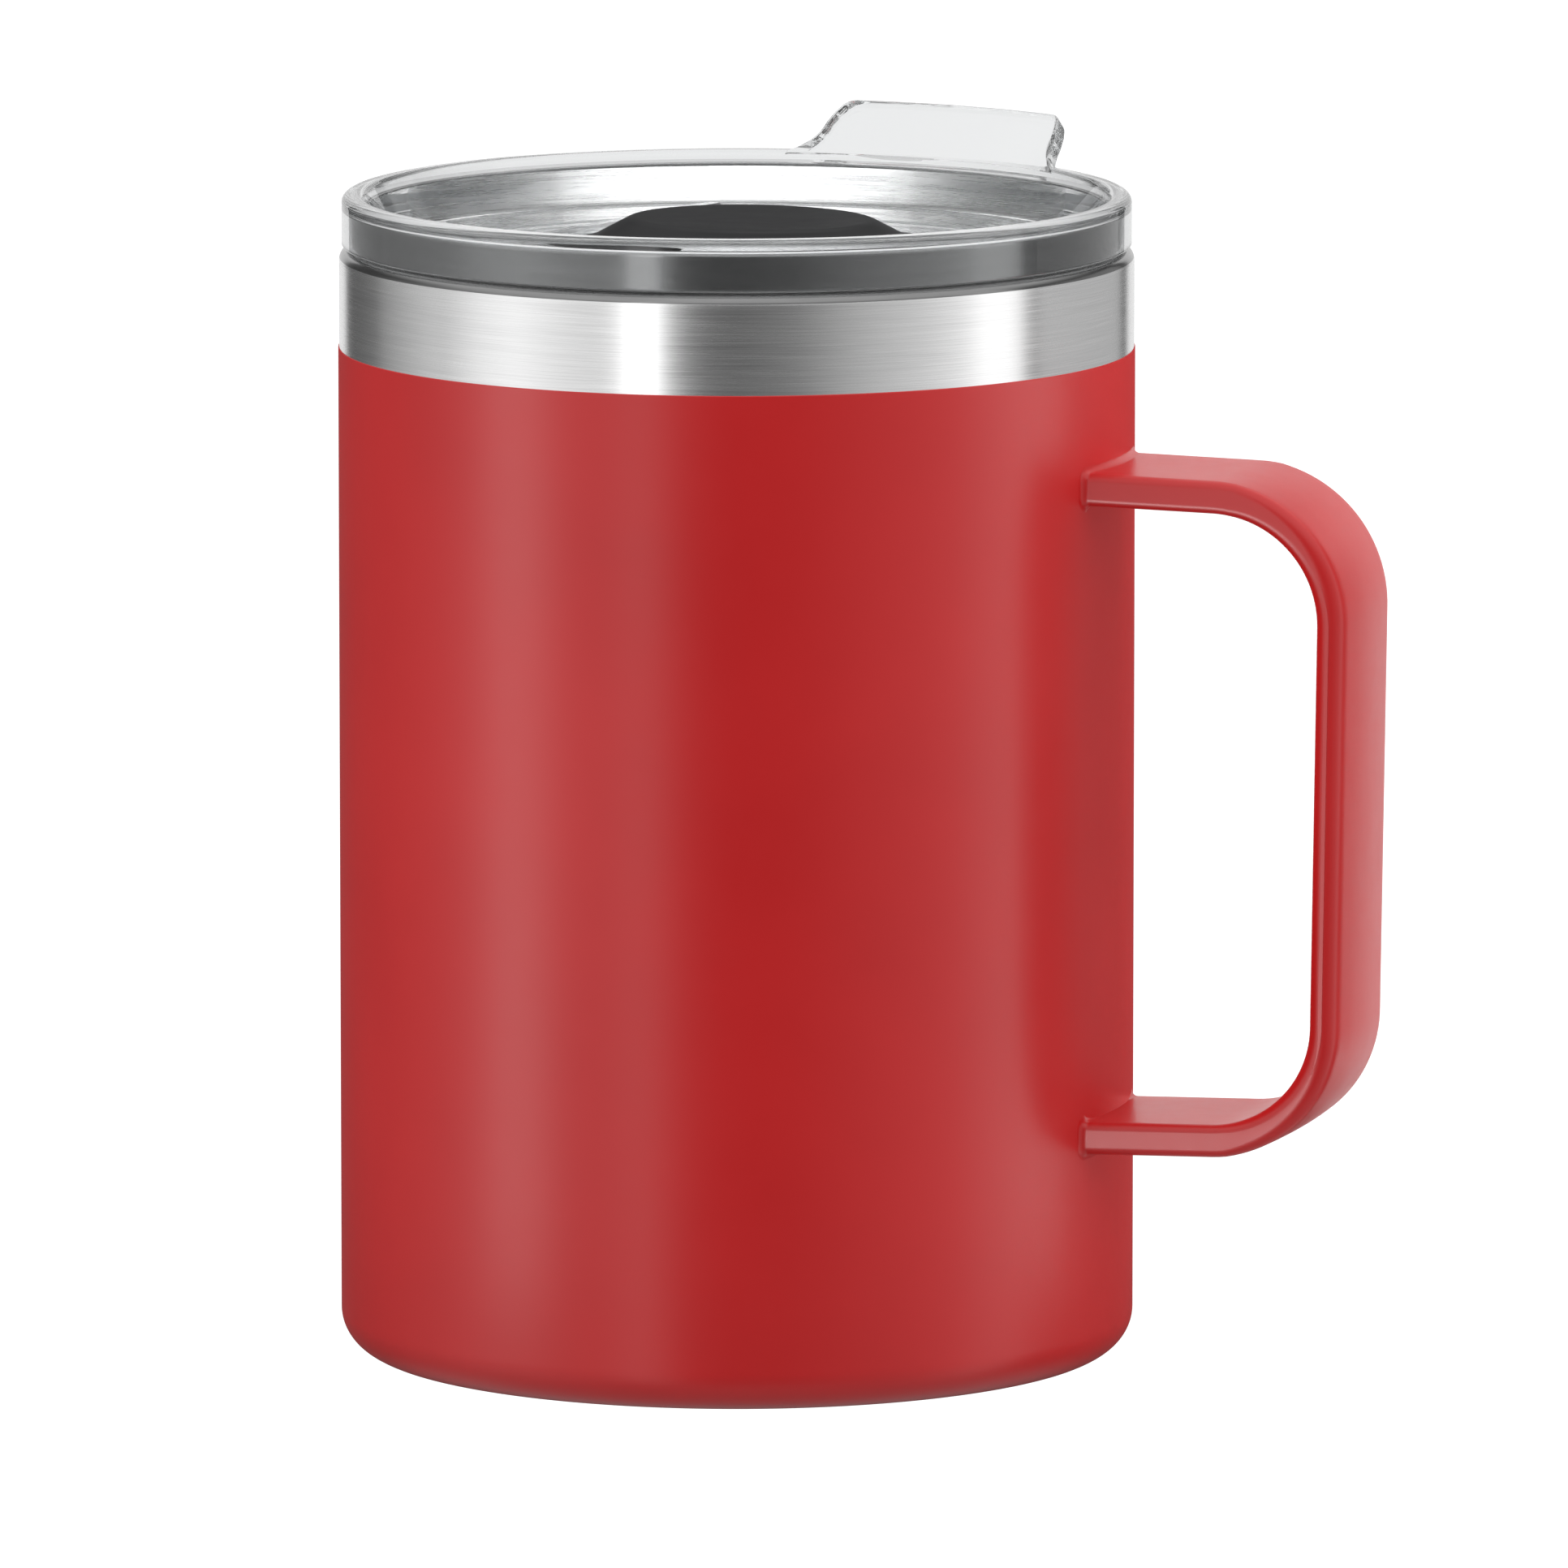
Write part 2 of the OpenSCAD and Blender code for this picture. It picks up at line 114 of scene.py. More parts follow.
def smooth(obj, crease=35, weighted=True):
    """Smooth shading, with edges sharper than crease kept sharp."""
    bm = bmesh.new()
    bm.from_mesh(obj.data)
    bmesh.ops.recalc_face_normals(bm, faces=bm.faces)
    for face in bm.faces:
        face.smooth = True
    for edge in bm.edges:
        edge.smooth = edge.calc_face_angle(0) < math.radians(crease)
    bm.to_mesh(obj.data)
    bm.free()
    if weighted:
        modifier = obj.modifiers.new("weighted", "WEIGHTED_NORMAL")
        modifier.keep_sharp = True
    return obj


def turned(name, profile, crease=35, weighted=True, steps=TURN_STEPS):
    """A closed profile of (radius, height) points turned around the cup's axis."""
    verts, rings, faces = [], [], []
    for radius, height in profile:
        count = 1 if radius < 1e-6 else steps
        rings.append((len(verts), count))
        for i in range(count):
            angle = 2 * math.pi * i / steps
            verts.append((radius * math.cos(angle), radius * math.sin(angle), height))
    for (a, na), (b, nb) in zip(rings, rings[1:] + rings[:1]):
        if na == nb == 1:
            continue
        for i in range(steps):
            j = (i + 1) % steps
            if na == 1:
                faces.append((a, b + j, b + i))
            elif nb == 1:
                faces.append((a + i, a + j, b))
            else:
                faces.append((a + i, a + j, b + j, b + i))
    return finish_mesh(name, verts, faces, crease, weighted)


def lofted(name, rings, crease=35, weighted=True):
    """A closed solid through rings of the same number of points, with flat ends."""
    count = len(rings[0])
    verts = [point for ring in rings for point in ring]
    faces = [tuple(range(count))[::-1], tuple(range(len(verts) - count, len(verts)))]
    for k in range(len(rings) - 1):
        for i in range(count):
            j = (i + 1) % count
            faces.append((k * count + i, k * count + j, (k + 1) * count + j, (k + 1) * count + i))
    return finish_mesh(name, verts, faces, crease, weighted)


def merged(base, others, operation):
    """Joins or cuts closed solids and leaves one mesh."""
    for other in others:
        modifier = base.modifiers.new("merge", "BOOLEAN")
        modifier.operation = operation
        modifier.solver = "EXACT"
        modifier.object = other
        graph = bpy.context.evaluated_depsgraph_get()
        result = bpy.data.meshes.new_from_object(base.evaluated_get(graph))
        base.modifiers.clear()
        base.data = result
        bpy.data.objects.remove(other)
    return base


def place(obj, body, slot, *nodes):
    """The piece rides on its body and stands for its CAD nodes, which it hides. The slot is not used."""
    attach(obj, body)
    if nodes:
        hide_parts(*nodes)
    return obj


# --------------------------------------------------------------------------- camera, light and floor

CAMERA_TURN = math.radians(18)   # the camera stands this far round from the -Y side
CAMERA_DISTANCE = 2.0
CAMERA_HEIGHT = 0.3643
AIM_HEIGHT = 0.06157
AIM_RIGHT = 0.0051
LENS = 429
SENSOR = 36


def make_camera():
    right = Vector((math.cos(CAMERA_TURN), math.sin(CAMERA_TURN), 0))
    back = Vector((math.sin(CAMERA_TURN), -math.cos(CAMERA_TURN), 0))
    data = bpy.data.cameras.new("camera")
    data.lens = LENS
    data.sensor_width = SENSOR
    data.clip_end = 50
    camera = bpy.data.objects.new("camera", data)
    camera.location = back * CAMERA_DISTANCE + Vector((0, 0, CAMERA_HEIGHT))
    aim = right * AIM_RIGHT + Vector((0, 0, AIM_HEIGHT))
    camera.rotation_euler = (aim - camera.location).to_track_quat("-Z", "Y").to_euler()
    bpy.context.scene.collection.objects.link(camera)
    bpy.context.scene.camera = camera


# Brightness of the studio's wall of soft boxes, by degrees to the right of the camera.
STUDIO_WALL = [
    (-180, 0.12), (-160, 0.1), (-147, 0.1), (-123, 0.18), (-98, 0.5), (-80, 0.95),
    (-67, 1.1), (-50, 0.82), (-38, 0.72), (-33, 0.9), (-31, 2.0), (-24, 2.0), (-21, 0.6), (-16, 0.22),
    (-9, 0.12), (0, 0.11), (17, 0.19), (36, 0.44), (57, 0.66), (70, 0.9), (76, 1.3), (90, 1.3),
    (93, 0.32), (100, 0.16), (124, 0.13), (150, 0.1), (180, 0.1),
]
WALL_FULL = 3.0           # the brightness that the wall's ramp counts as 1
OVERHEAD = 1.3
BELOW = 0.6
BACKDROP = 1.2
THROUGH = 0.95            # what clear plastic shows of the studio beyond it
WITHIN = 0.75             # the share of that in light that was reflected inside the plastic


class Nodes:
    """Short calls for building a node tree."""

    def __init__(self, tree):
        self.tree = tree
        tree.nodes.clear()

    def add(self, kind, inputs=(), **settings):
        node = self.tree.nodes.new(kind)
        for key, value in settings.items():
            setattr(node, key, value)
        for key, value in dict(inputs).items():
            self.feed(node, key, value)
        return node

    def feed(self, node, key, value):
        if isinstance(value, bpy.types.NodeSocket):
            self.tree.links.new(value, node.inputs[key])
        else:
            node.inputs[key].default_value = value

    def math(self, operation, a, b=0.0, c=0.0, clamp=False):
        node = self.add("ShaderNodeMath", {0: a, 1: b, 2: c}, operation=operation, use_clamp=clamp)
        return node.outputs[0]

    def ramp(self, factor, stops, interpolation="LINEAR"):
        node = self.add("ShaderNodeValToRGB", {"Fac": factor})
        node.color_ramp.interpolation = interpolation
        elements = node.color_ramp.elements
        while len(elements) < len(stops):
            elements.new(0.5)
        for element, (position, value) in zip(elements, stops):
            element.position = position
            element.color = (*value, 1) if hasattr(value, "__len__") else (value, value, value, 1)
        return node.outputs["Color"]

    def blend(self, factor, a, b):
        """A number between two, by factor."""
        return self.add("ShaderNodeMix", {"Factor": factor, 2: a, 3: b}, data_type="FLOAT").outputs[0]

    def remap(self, value, low, high, new_low, new_high, smooth=False):
        node = self.add("ShaderNodeMapRange", {"Value": value, "From Min": low, "From Max": high,
                                               "To Min": new_low, "To Max": new_high},
                        interpolation_type="SMOOTHSTEP" if smooth else "LINEAR")
        return node.outputs[0]


def make_world():
    """A wall of soft boxes all round, a broad light overhead and a white backdrop for the camera."""
    world = bpy.data.worlds.new("studio")
    world.use_nodes = True
    bpy.context.scene.world = world
    n = Nodes(world.node_tree)
    coords = n.add("ShaderNodeTexCoord")
    turned_coords = n.add("ShaderNodeMapping", {"Vector": coords.outputs["Generated"],
                                                "Rotation": (0, 0, -CAMERA_TURN)})
    parts = n.add("ShaderNodeSeparateXYZ", {0: turned_coords.outputs[0]})
    angle = n.math("ARCTAN2", parts.outputs["X"], n.math("MULTIPLY", parts.outputs["Y"], -1))
    place_on_wall = n.math("MULTIPLY_ADD", angle, 1 / (2 * math.pi), 0.5)
    wall = n.ramp(place_on_wall, [((a + 180) / 360, b / WALL_FULL) for a, b in STUDIO_WALL])
    wall = n.math("MULTIPLY", wall, WALL_FULL)
    height = parts.outputs["Z"]
    up = n.remap(height, 0.35, 0.7, 0, 1, smooth=True)
    down = n.remap(height, -0.45, -0.8, 0, 1, smooth=True)
    lit = n.blend(up, wall, OVERHEAD)
    lit = n.blend(down, lit, BELOW)
    path = n.add("ShaderNodeLightPath")
    one_wall = n.math("LESS_THAN", path.outputs["Transmission Depth"], 2.5)
    share = n.remap(path.outputs["Glossy Depth"], 0, 1, 1, WITHIN)
    beyond = n.math("MULTIPLY", path.outputs["Is Transmission Ray"], n.math("MULTIPLY", one_wall, share))
    lit = n.blend(beyond, lit, THROUGH)
    lit = n.blend(path.outputs["Is Camera Ray"], lit, BACKDROP)
    background = n.add("ShaderNodeBackground", {"Color": (1, 1, 1, 1), "Strength": lit})
    n.add("ShaderNodeOutputWorld", {"Surface": background.outputs[0]})


def add_panel(name, place_at, aim, size, brightness, receivers, gloss, diffuse):
    """A soft box that lights only its receivers, unshaded by the other pieces."""
    data = bpy.data.lights.new(name, "AREA")
    data.shape = "RECTANGLE"
    data.size, data.size_y = size
    data.energy = brightness * math.pi * size[0] * size[1]
    panel = bpy.data.objects.new(name, data)
    panel.location = place_at
    panel.rotation_euler = (Vector(aim) - Vector(place_at)).to_track_quat("-Z", "Y").to_euler()
    panel.visible_camera = False
    panel.visible_transmission = False
    panel.visible_glossy = gloss
    panel.visible_diffuse = diffuse
    bpy.context.scene.collection.objects.link(panel)
    linked = bpy.data.collections.new(name)
    for piece in receivers:
        linked.objects.link(piece)
    panel.light_linking.receiver_collection = linked
    blockers = bpy.data.collections.new(name + "_blockers")
    blockers.objects.link(floor)
    panel.light_linking.blocker_collection = blockers


def side_panel(name, turn, width, low, high, brightness, receivers, gloss=True, diffuse=True):
    """An upright soft box, turn degrees to the right of the camera and width degrees wide."""
    distance = 1.6
    angle = math.radians(turn - 90) + CAMERA_TURN
    middle = (low + high) / 2
    across = 2 * distance * math.tan(math.radians(width / 2))
    add_panel(name, (distance * math.cos(angle), distance * math.sin(angle), middle), (0, 0, middle),
              (across, high - low), brightness, receivers, gloss, diffuse)


FLOOR_R = 100


def make_floor():
    floor = turned("floor", [(0, 0), (FLOOR_R - 1, 0), (FLOOR_R, -1), (FLOOR_R - 1, -2), (0, -2)],
                   weighted=False, steps=96)
    mat, n, shader = new_material("floor_sheet", (0.5, 0.5, 0.5), roughness=0.9)
    coords = n.add("ShaderNodeTexCoord").outputs["Object"]
    fibre = n.add("ShaderNodeTexNoise", {"Vector": coords, "Scale": 900.0, "Detail": 4.0})
    n.feed(shader, "Normal", bump(n, fibre.outputs["Fac"], 0.02, 0.1))
    seen = n.add("ShaderNodeEmission", {"Color": (1, 1, 1, 1), "Strength": BACKDROP})
    camera_ray = n.add("ShaderNodeLightPath").outputs["Is Camera Ray"]
    both = n.add("ShaderNodeMixShader", {0: camera_ray, 1: shader.outputs[0], 2: seen.outputs[0]})
    n.feed(n.tree.nodes["Material Output"], "Surface", both.outputs[0])
    floor.data.materials.append(mat)
    floor.visible_glossy = False
    return floor


# --------------------------------------------------------------------------- materials

def new_material(name, colour, roughness, **constants):
    """A Principled material; constants are set on the shader's own sockets."""
    mat = bpy.data.materials.new(name)
    mat.use_nodes = True
    n = Nodes(mat.node_tree)
    shader = n.add("ShaderNodeBsdfPrincipled", {"Base Color": (*colour, 1), "Roughness": roughness})
    for socket, value in constants.items():
        shader.inputs[socket.replace("_", " ")].default_value = value
    n.add("ShaderNodeOutputMaterial", {"Surface": shader.outputs[0]})
    mat.diffuse_color = (*colour, 1)
    return mat, n, shader


def bump(n, height, distance_mm, strength):
    node = n.add("ShaderNodeBump", {"Height": height, "Distance": distance_mm * MM,
                                    "Strength": strength})
    return node.outputs["Normal"]


def noise(n, coords, scale, detail=3.0, roughness=0.5):
    node = n.add("ShaderNodeTexNoise", {"Vector": coords, "Scale": scale, "Detail": detail,
                                        "Roughness": roughness})
    return node.outputs["Fac"]


def stretched(n, coords, x, y, z):
    node = n.add("ShaderNodeMapping", {"Vector": coords, "Scale": (x, y, z)})
    return node.outputs[0]


def tinted(n, factor, dark, light):
    """A colour between two, by factor."""
    node = n.add("ShaderNodeMix", {"Factor": factor, 6: (*dark, 1), 7: (*light, 1)},
                 data_type="RGBA")
    return node.outputs[2]


def brushed_steel(name, light, rough, anisotropy=0.6, streaks=14000, bump_mm=0.004):
    """Steel brushed around the axis: fine streaks that run with the turn, in colour, gloss and height."""
    mat, n, shader = new_material(name, (light,) * 3, rough, Metallic=1.0, Anisotropic=anisotropy,
                                  Anisotropic_Rotation=0.25)
    coords = n.add("ShaderNodeTexCoord").outputs["Object"]
    fine = noise(n, stretched(n, coords, 90, 90, streaks), 1.0, 4.0, 0.6)
    broad = noise(n, stretched(n, coords, 25, 25, streaks / 12), 1.0, 3.0, 0.5)
    grain = n.math("MULTIPLY_ADD", broad, 0.2, n.math("MULTIPLY", fine, 0.8))
    n.feed(shader, "Base Color", tinted(n, n.remap(grain, 0.3, 0.7, 0, 1),
                                        (light * 0.86,) * 3, (min(1, light * 1.1),) * 3))
    n.feed(shader, "Roughness", n.remap(grain, 0.3, 0.7, rough * 0.8, rough * 1.25))
    n.feed(shader, "Normal", bump(n, grain, bump_mm, 0.35))
    tangent = n.add("ShaderNodeTangent", direction_type="RADIAL", axis="Z")
    n.feed(shader, "Tangent", tangent.outputs[0])
    return mat


def powder_coat(name):
    """Satin red powder coat: a very fine pebbled skin with slight changes in depth and gloss."""
    deep, bright = (0.56, 0.0125, 0.0135), (0.6, 0.0145, 0.0155)
    mat, n, shader = new_material(name, bright, 0.3, Specular_IOR_Level=0.5)
    coords = n.add("ShaderNodeTexCoord").outputs["Object"]
    pebble = noise(n, coords, 2000.0, 2.0, 0.5)
    wave = noise(n, coords, 420.0, 2.0, 0.5)
    cloud = noise(n, coords, 28.0, 3.0, 0.6)
    n.feed(shader, "Base Color", tinted(n, n.remap(cloud, 0.35, 0.65, 0, 1), deep, bright))
    uneven = n.math("MULTIPLY_ADD", wave, 0.4, n.math("MULTIPLY", cloud, 0.6))
    n.feed(shader, "Roughness", n.blend(uneven, 0.26, 0.37))
    skin = n.math("MULTIPLY_ADD", wave, 0.3, n.math("MULTIPLY", pebble, 0.7))
    n.feed(shader, "Normal", bump(n, skin, 0.012, 0.3))
    return mat


def clear_plastic(name):
    """Clear moulded plastic, faintly grey, with flow lines that follow the moulding round."""
    mat, n, shader = new_material(name, (0.85, 0.86, 0.865), 0.03, IOR=1.5,
                                  **{"Transmission_Weight": 1.0})
    coords = n.add("ShaderNodeTexCoord").outputs["Object"]
    flow = noise(n, stretched(n, coords, 30, 30, 1500), 1.0, 3.0, 0.55)
    ripple = noise(n, coords, 260.0, 2.0, 0.5)
    scuff = noise(n, stretched(n, coords, 500, 500, 2500), 1.0, 4.0, 0.6)
    n.feed(shader, "Roughness", n.blend(scuff, 0.0, 0.06))
    n.feed(shader, "Normal", bump(n, n.math("MULTIPLY_ADD", flow, 0.9, n.math("MULTIPLY", ripple, 0.1)),
                                  0.03, 0.1))
    return mat


def black_plastic(name):
    """Black moulded plastic with a fine spark-eroded texture."""
    mat, n, shader = new_material(name, (0.013, 0.013, 0.014), 0.5, Specular_IOR_Level=0.12)
    coords = n.add("ShaderNodeTexCoord").outputs["Object"]
    grain = noise(n, coords, 5200.0, 3.0, 0.6)
    cloud = noise(n, coords, 90.0, 3.0, 0.6)
    n.feed(shader, "Base Color", tinted(n, n.remap(cloud, 0.3, 0.7, 0, 1),
                                        (0.011, 0.011, 0.012), (0.016, 0.016, 0.017)))
    n.feed(shader, "Roughness", n.remap(cloud, 0.3, 0.7, 0.44, 0.54))
    n.feed(shader, "Normal", bump(n, grain, 0.01, 0.3))
    return mat


def silicone(name, colour, transmission):
    """Soft silicone: matte, slightly see-through, with a faint dusty bloom."""
    mat, n, shader = new_material(name, colour, 0.55, IOR=1.41,
                                  **{"Transmission_Weight": transmission, "Subsurface_Weight": 0.15,
                                     "Subsurface_Radius": (0.002, 0.002, 0.002)})
    coords = n.add("ShaderNodeTexCoord").outputs["Object"]
    bloom = noise(n, coords, 350.0, 4.0, 0.6)
    n.feed(shader, "Base Color", tinted(n, n.remap(bloom, 0.35, 0.65, 0, 1),
                                        tuple(c * 0.9 for c in colour), colour))
    n.feed(shader, "Roughness", n.remap(bloom, 0.35, 0.65, 0.48, 0.62))
    n.feed(shader, "Normal", bump(n, bloom, 0.01, 0.2))
    return mat


def raw_metal(name, colour, rough, scale):
    """Unfinished metal inside the mug: mottled tint and gloss with a shallow grain."""
    mat, n, shader = new_material(name, colour, rough, Metallic=1.0)
    coords = n.add("ShaderNodeTexCoord").outputs["Object"]
    mottle = noise(n, coords, scale, 4.0, 0.6)
    n.feed(shader, "Base Color", tinted(n, n.remap(mottle, 0.3, 0.7, 0, 1),
                                        tuple(c * 0.8 for c in colour), colour))
    n.feed(shader, "Roughness", n.remap(mottle, 0.3, 0.7, rough * 0.8, rough * 1.2))
    n.feed(shader, "Normal", bump(n, mottle, 0.02, 0.3))
    return mat


def sealing_glass(name):
    """Dark fused glass bead with small bubbles."""
    mat, n, shader = new_material(name, (0.12, 0.06, 0.03), 0.15, IOR=1.52)
    coords = n.add("ShaderNodeTexCoord").outputs["Object"]
    bubbles = n.add("ShaderNodeTexVoronoi", {"Vector": coords, "Scale": 2500.0})
    n.feed(shader, "Base Color", tinted(n, n.remap(bubbles.outputs["Distance"], 0, 0.6, 0, 1),
                                        (0.2, 0.11, 0.06), (0.09, 0.045, 0.02)))
    n.feed(shader, "Normal", bump(n, bubbles.outputs["Distance"], 0.02, 0.3))
    return mat


# --------------------------------------------------------------------------- cup

def make_shell():
    """Steel from the foot's hem, up the side and over the shoulder to the neck. The neck is painted shade:
    its faces take a much darker copy of the steel, standing for the shade under the clear lid.
    """
    foot = (shell_r - shell_foot_r, shell_foot_r)
    shoulder = (neck_r + 0.12, shoulder_z - shoulder_r + 0.12)
    radius = shoulder_r - 0.12
    profile = [(hem_r - sheet, hem_h), (hem_r - sheet, 0.25), (hem_r - sheet + 0.25, 0)]
    profile += arc(foot, shell_foot_r, -90, 0, 14)
    profile += [(shell_r, z) for z in (30, 60, 90, coat_top)]
    profile += arc(shoulder, radius, 0, 80, 10)
    profile += arc((neck_r + 0.25, shoulder_z + 0.25), 0.25, 250, 180, 4)
    profile += [(neck_r, weld_z), (neck_r - sheet, weld_z), (neck_r - sheet, shoulder_z - sheet)]
    profile += arc(shoulder, radius - sheet, 70, 0, 6)
    profile += arc(foot, shell_foot_r - sheet, 0, -90, 8)
    profile += [(hem_r, sheet), (hem_r, hem_h)]
    shell = turned("shell", profile)
    # painted shade: faces above this height, the neck under the lid's skirt, take the dark copy of the
    # steel
    painted_shade_from = shoulder_z - 0.7 * shoulder_r
    for face in shell.data.polygons:
        face.material_index = int(face.center.z > painted_shade_from * MM)
    return shell


def make_coat():
    """The coloured skin, with a soft edge where it was masked off the steel."""
    foot = (shell_r - shell_foot_r, shell_foot_r)
    profile = arc(foot, foot_r, -68, 0, 14)
    profile += [(cup_r, z) for z in (20, 40, 60, 80, 100, coat_top - 0.3)]
    profile += arc((shell_r, coat_top - coat_t), coat_t, 0, 90, 4)
    profile += arc(foot, shell_foot_r, 0, -68, 8)
    return turned("coat", profile)


def make_liner():
    """Inner wall and bottom, which are welded flush and finished together."""
    inner = liner_r - sheet
    corner = seam_z - liner_floor
    corner_c = (liner_r - corner, seam_z)
    step_z, step_h = 104, 3       # where the liner widens to the mouth
    top_out, top_in = mouth_r + sheet, mouth_r
    profile = [(0, liner_floor)] + arc(corner_c, corner, -90, 0, 10)
    profile += [(liner_r, step_z), (top_out, step_z + step_h), (top_out, weld_z), (top_in, weld_z)]
    profile += [(top_in, step_z + step_h + 0.6), (top_in - 0.1, step_z + step_h - 0.1)]
    profile += [(inner + 0.1, step_z + 0.1), (inner, step_z - 0.6), (inner, 70), (inner, 40)]
    profile += arc(corner_c, corner - sheet, 0, -90, 12) + [(0, liner_floor + sheet)]
    return turned("liner", profile)


def make_lip():
    """Polished bead over both walls at the drinking lip."""
    return turned("lip", arc((neck_r - sheet, weld_z), sheet, 0, 180, 16))


def make_base_disc():
    """Cover in the foot's recess, spun with two shallow rings."""
    profile = [(0, disc_low)]
    for ring_r in (22, 29):
        profile += [(ring_r, disc_low), (ring_r + 0.15, disc_low + 0.05), (ring_r + 0.4, disc_low + 0.2),
                    (ring_r + 0.9, disc_low + 0.2), (ring_r + 1.15, disc_low + 0.05),
                    (ring_r + 1.3, disc_low)]
    profile += arc((disc_r - 0.4, disc_low + 0.4), 0.4, -90, 0, 5)
    profile += [(disc_r, disc_high), (3, disc_high), (3, disc_high - 0.6), (0, disc_high - 0.6)]
    return turned("base_cover", profile)


# --------------------------------------------------------------------------- handle

STRAP_W = 19.2
STRAP_T = 3.55
ARM_EDGE = 0.9            # rounding of the strap's edges on the arms, and on the grip
GRIP_EDGE = 1.7
GRIP_CROWN = 0.55
ARM_FALL = 1              # degrees
GRIP_LEAN = 0.8
LOW_ARM_RISE = 1.7
ARM_L = 13.4
GRIP_L = 43.4
UPPER_BEND = 13.4
LOWER_BEND = 12.8
HANDLE_Z = 96.6
WELD_R = 0.7              # fillet of the weld around the strap's ends


def strap_section(edge, crown, steps=6):
    """Rounded rectangle with a crowned outer face, as (out, across) points and their outward normals."""
    points = []
    corners = [(1, 1, 0), (-1, 1, 90), (-1, -1, 180), (1, -1, 270)]
    for sx, sy, start in corners:
        centre = Vector((sx * (STRAP_T / 2 - edge), sy * (STRAP_W / 2 - edge)))
        for i in range(steps + 1):
            normal = along(start + 90 * i / steps, 1)
            points.append((centre + normal * edge, normal))
    half = STRAP_W / 2
    face = [Vector((STRAP_T / 2, half * share)) for share in (-0.75, -0.5, -0.25, 0, 0.25, 0.5, 0.75)]
    points += [(point, Vector((1, 0))) for point in face]
    for point, _ in points:
        if point.x > 0:
            point.x -= crown * (point.y / half) ** 2
    return points


def strap_path():
    """Stations along the strap's middle as (x, z, heading), from the upper root to the lower one."""
    heads = (-ARM_FALL, -90 - GRIP_LEAN, -180 + LOW_ARM_RISE)
    start = Vector((shell_r, HANDLE_Z))
    stations = []

    def straight(origin, heading, length, first, last, pieces):
        for i in range(pieces + 1):
            point = origin + along(heading, first + (last - first) * i / pieces)
            stations.append((point, heading))
        return origin + along(heading, length)

    def bend(origin, radius, a, b, pieces=28):
        centre = origin + along(a - 90, radius)
        for i in range(1, pieces):
            heading = a + (b - a) * i / pieces
            stations.append((centre + along(heading + 90, radius), heading))
        return centre + along(b + 90, radius)

    clear = WELD_R + 1.6
    end = straight(start, heads[0], ARM_L, clear, ARM_L, 6)
    end = bend(end, UPPER_BEND, heads[0], heads[1])
    end = straight(end, heads[1], GRIP_L, 0, GRIP_L, 16)
    end = bend(end, LOWER_BEND, heads[1], heads[2])
    low_arm = (end.x - shell_r) / -math.cos(math.radians(heads[2]))
    straight(end, heads[2], low_arm, 0, low_arm - clear, 6)
    return stations


def root_ring(section, station, outward, depth):
    """The section where the strap is depth from the cup's wall, grown by the weld's fillet."""
    point, heading = station
    slope = math.tan(math.radians(heading))
    reach = max(0.0, min(WELD_R, depth))
    grow = WELD_R - math.sqrt(WELD_R ** 2 - (WELD_R - reach) ** 2)
    ring = []
    for flat, normal in section:
        out, across = flat + normal * grow
        x = math.sqrt((cup_r + depth) ** 2 - across ** 2)
        z = point.y + (x - point.x) * slope + out * outward
        ring.append((x, across, z))
    return ring


def make_handle():
    """Both pressings and both welds, which the powder coat covers as one skin."""
    section = strap_section(ARM_EDGE, 0)
    stations = strap_path()
    rings = []
    depths = [-0.1] + [WELD_R * share for share in (0, 0.03, 0.1, 0.2, 0.35, 0.55, 0.77, 1)]
    for depth in depths:
        rings.append(root_ring(section, stations[0], 1, depth))
    for point, heading in stations:
        out = along(heading + 90, 1)
        share = max(0.0, 1 - abs((heading + 90 + GRIP_LEAN) / 80)) ** 0.7
        shape = strap_section(ARM_EDGE + (GRIP_EDGE - ARM_EDGE) * share, GRIP_CROWN * share)
        rings.append([(point.x + out.x * flat.x, flat.y, point.y + out.y * flat.x) for flat, _ in shape])
    for depth in reversed(depths):
        rings.append(root_ring(section, stations[-1], -1, depth))
    return lofted("handle", rings, crease=50)


# --------------------------------------------------------------------------- lid

rim_z = lip_z + 1.5
flange_z = lip_z + 0.15
floor_z = lip_z - 5.5
floor_under = floor_z - 1.9
skirt_in = neck_r + 0.25
skirt_r = skirt_in + 0.95
skirt_low = shoulder_z + 0.3
plug_r = mouth_r - 0.5
plug_in = plug_r - 2.7
groove_r = plug_r - 1
dish_r = skirt_r - 5
dish_top_r = skirt_r - 2.5
floor_r = dish_r - 2.2
ring_z = floor_z + 1.4
RIM_EDGE = 0.9
TAB_LEAN = 45
TAB_L = 6.47
TAB_T = 2.5
TAB_HALF_TIP = 14
TAB_HALF_FOOT = 14.8
TAB_FILLET = 2.5
TAB_CORNER = 1.5
HOLE_U = -27
HOLE_L, HOLE_W = 16, 7
RAIL_Y = 19.5
RAIL_START = -8
RAIL_END = 26
VENT_R = 0.8
VENT_PLACE = (4, -28)


